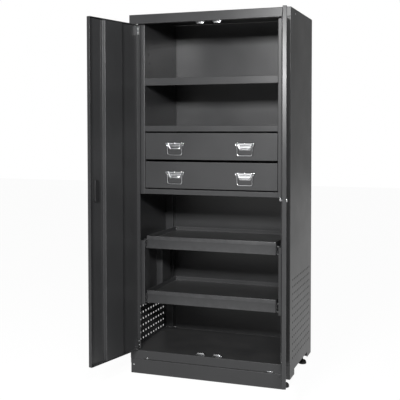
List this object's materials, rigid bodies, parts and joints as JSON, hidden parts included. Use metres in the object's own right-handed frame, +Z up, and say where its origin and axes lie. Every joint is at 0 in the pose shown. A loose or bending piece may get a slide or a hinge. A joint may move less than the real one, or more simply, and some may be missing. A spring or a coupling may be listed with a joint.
{
  "type": "tool cabinet",
  "caption": "Tall double-door steel workshop cabinet with perforated sides, shelf, drawers with drop handles, sliding trays, recessed pulls, cam lock and levelling feet.",
  "frame": {"origin": "on the floor, on the cabinet's mid-plane, halfway between its back and the free edges of its open doors", "axes": "+Z up, +Y from the doors towards the back, +X towards the right-hand door as seen from the front"},
  "size_m": [1.043, 0.93, 2],
  "materials": {
    "powder_coat": "satin charcoal powder coat on folded sheet steel",
    "zinc_plate": "bright zinc plating",
    "bright_chrome": "polished chrome plating",
    "black_moulding": "matte black moulding",
    "foot_rubber": "matte black rubber pad"
  },
  "bodies": {
    "carcass": {"left_side_panel": "powder_coat", "right_side_panel": "powder_coat", "left_front_stile": "powder_coat", "right_front_stile": "powder_coat", "left_rear_post": "powder_coat", "right_rear_post": "powder_coat", "back_panel": "powder_coat", "top_panel": "powder_coat", "floor_panel": "powder_coat", "kick_plate": "powder_coat", "left_liner": "powder_coat", "right_liner": "powder_coat", "upper_shelf": "powder_coat", "drawer_bay_shelf": "powder_coat", "drawer_bay_bottom": "powder_coat", "left_tray_carrier": "powder_coat", "right_tray_carrier": "powder_coat", "upper_catch": "zinc_plate", "lower_catch": "zinc_plate", "upper_left_drawer_runner": "zinc_plate", "upper_right_drawer_runner": "zinc_plate", "lower_left_drawer_runner": "zinc_plate", "lower_right_drawer_runner": "zinc_plate", "upper_left_fixed_slide": "zinc_plate", "upper_right_fixed_slide": "zinc_plate", "lower_left_fixed_slide": "zinc_plate", "lower_right_fixed_slide": "zinc_plate"},
    "left_door": {"left_door_skin": "powder_coat", "left_door_stiffener": "powder_coat", "left_door_pull": "black_moulding", "left_door_upper_pivot": "zinc_plate", "left_door_lower_pivot": "zinc_plate"},
    "right_door": {"right_door_skin": "powder_coat", "right_door_stiffener": "powder_coat", "right_door_pull": "black_moulding", "right_door_upper_pivot": "zinc_plate", "right_door_lower_pivot": "zinc_plate", "lock_barrel": "bright_chrome"},
    "cam": {"lock_cam": "zinc_plate"},
    "upper_drawer_box": {"upper_drawer": "powder_coat", "upper_left_handle_plate": "bright_chrome", "upper_right_handle_plate": "bright_chrome"},
    "lower_drawer_box": {"lower_drawer": "powder_coat", "lower_left_handle_plate": "bright_chrome", "lower_right_handle_plate": "bright_chrome"},
    "upper_left_bail": {"upper_left_handle_bail": "bright_chrome"},
    "upper_right_bail": {"upper_right_handle_bail": "bright_chrome"},
    "lower_left_bail": {"lower_left_handle_bail": "bright_chrome"},
    "lower_right_bail": {"lower_right_handle_bail": "bright_chrome"},
    "upper_sliding_tray": {"upper_tray": "powder_coat", "upper_left_inner_slide": "zinc_plate", "upper_right_inner_slide": "zinc_plate"},
    "lower_sliding_tray": {"lower_tray": "powder_coat", "lower_left_inner_slide": "zinc_plate", "lower_right_inner_slide": "zinc_plate"},
    "front_left_leveller": {"front_left_foot": "foot_rubber"},
    "front_right_leveller": {"front_right_foot": "foot_rubber"},
    "rear_left_leveller": {"rear_left_foot": "foot_rubber"},
    "rear_right_leveller": {"rear_right_foot": "foot_rubber"}
  },
  "joints": [
    {"name": "left_door_hinge", "type": "hinge", "parent": "carcass", "child": "left_door", "pos_m": [-0.413, -0.06201, 1.04], "axis": [0, 0, -1], "range_deg": [-103, 3]},
    {"name": "right_door_hinge", "type": "hinge", "parent": "carcass", "child": "right_door", "pos_m": [0.413, -0.06201, 1.04], "axis": [0, 0, 1], "range_deg": [-104.5, 3]},
    {"name": "lock_cam_turn", "type": "hinge", "parent": "right_door", "child": "cam", "pos_m": [0.49178, -0.43052, 1.036], "axis": [-0.9681, -0.2504, 0], "range_deg": [0, 180]},
    {"name": "upper_drawer_slide", "type": "slide", "parent": "carcass", "child": "upper_drawer_box", "axis": [0, -1, 0], "range_m": [0, 0.33]},
    {"name": "lower_drawer_slide", "type": "slide", "parent": "carcass", "child": "lower_drawer_box", "axis": [0, -1, 0], "range_m": [0, 0.33]},
    {"name": "upper_left_bail_hinge", "type": "hinge", "parent": "upper_drawer_box", "child": "upper_left_bail", "pos_m": [-0.2, -0.04221, 1.293], "axis": [-1, 0, 0], "range_deg": [0, 90]},
    {"name": "upper_right_bail_hinge", "type": "hinge", "parent": "upper_drawer_box", "child": "upper_right_bail", "pos_m": [0.2, -0.04221, 1.293], "axis": [-1, 0, 0], "range_deg": [0, 90]},
    {"name": "lower_left_bail_hinge", "type": "hinge", "parent": "lower_drawer_box", "child": "lower_left_bail", "pos_m": [-0.2, -0.04221, 1.134], "axis": [-1, 0, 0], "range_deg": [0, 90]},
    {"name": "lower_right_bail_hinge", "type": "hinge", "parent": "lower_drawer_box", "child": "lower_right_bail", "pos_m": [0.2, -0.04221, 1.134], "axis": [-1, 0, 0], "range_deg": [0, 90]},
    {"name": "upper_tray_slide", "type": "slide", "parent": "carcass", "child": "upper_sliding_tray", "axis": [0, -1, 0], "range_m": [0, 0.28]},
    {"name": "lower_tray_slide", "type": "slide", "parent": "carcass", "child": "lower_sliding_tray", "axis": [0, -1, 0], "range_m": [0, 0.28]},
    {"name": "front_left_foot_turn", "type": "hinge", "parent": "carcass", "child": "front_left_leveller", "pos_m": [-0.416, -0.01801, 0.03], "axis": [0, 0, 1], "continuous": true},
    {"name": "front_right_foot_turn", "type": "hinge", "parent": "carcass", "child": "front_right_leveller", "pos_m": [0.416, -0.01801, 0.03], "axis": [0, 0, 1], "continuous": true},
    {"name": "rear_left_foot_turn", "type": "hinge", "parent": "carcass", "child": "rear_left_leveller", "pos_m": [-0.416, 0.41999, 0.03], "axis": [0, 0, 1], "continuous": true},
    {"name": "rear_right_foot_turn", "type": "hinge", "parent": "carcass", "child": "rear_right_leveller", "pos_m": [0.416, 0.41999, 0.03], "axis": [0, 0, 1], "continuous": true}
  ]
}
